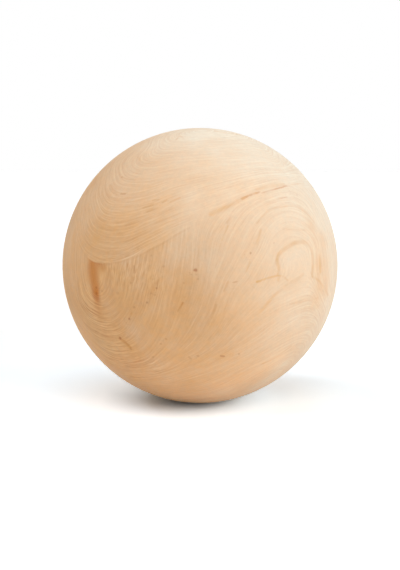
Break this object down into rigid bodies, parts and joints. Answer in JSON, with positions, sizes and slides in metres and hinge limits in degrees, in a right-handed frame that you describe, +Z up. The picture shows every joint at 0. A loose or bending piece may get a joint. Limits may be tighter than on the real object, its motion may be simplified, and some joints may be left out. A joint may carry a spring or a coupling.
{
  "type": "wooden ball",
  "caption": "Solid turned wooden ball with a fine sanded surface, used as a craft blank, knob, foot or rolling ball.",
  "frame": {"origin": "centre of the ball", "axes": "+Z up through the ball's centre, +X to the right and +Y away from the picture's camera"},
  "size_m": [0.025, 0.025, 0.025],
  "materials": {
    "birch": "fine sanded birch, bare of lacquer, satin to matt"
  },
  "bodies": {
    "root": {"ball": "birch"}
  },
  "joints": []
}
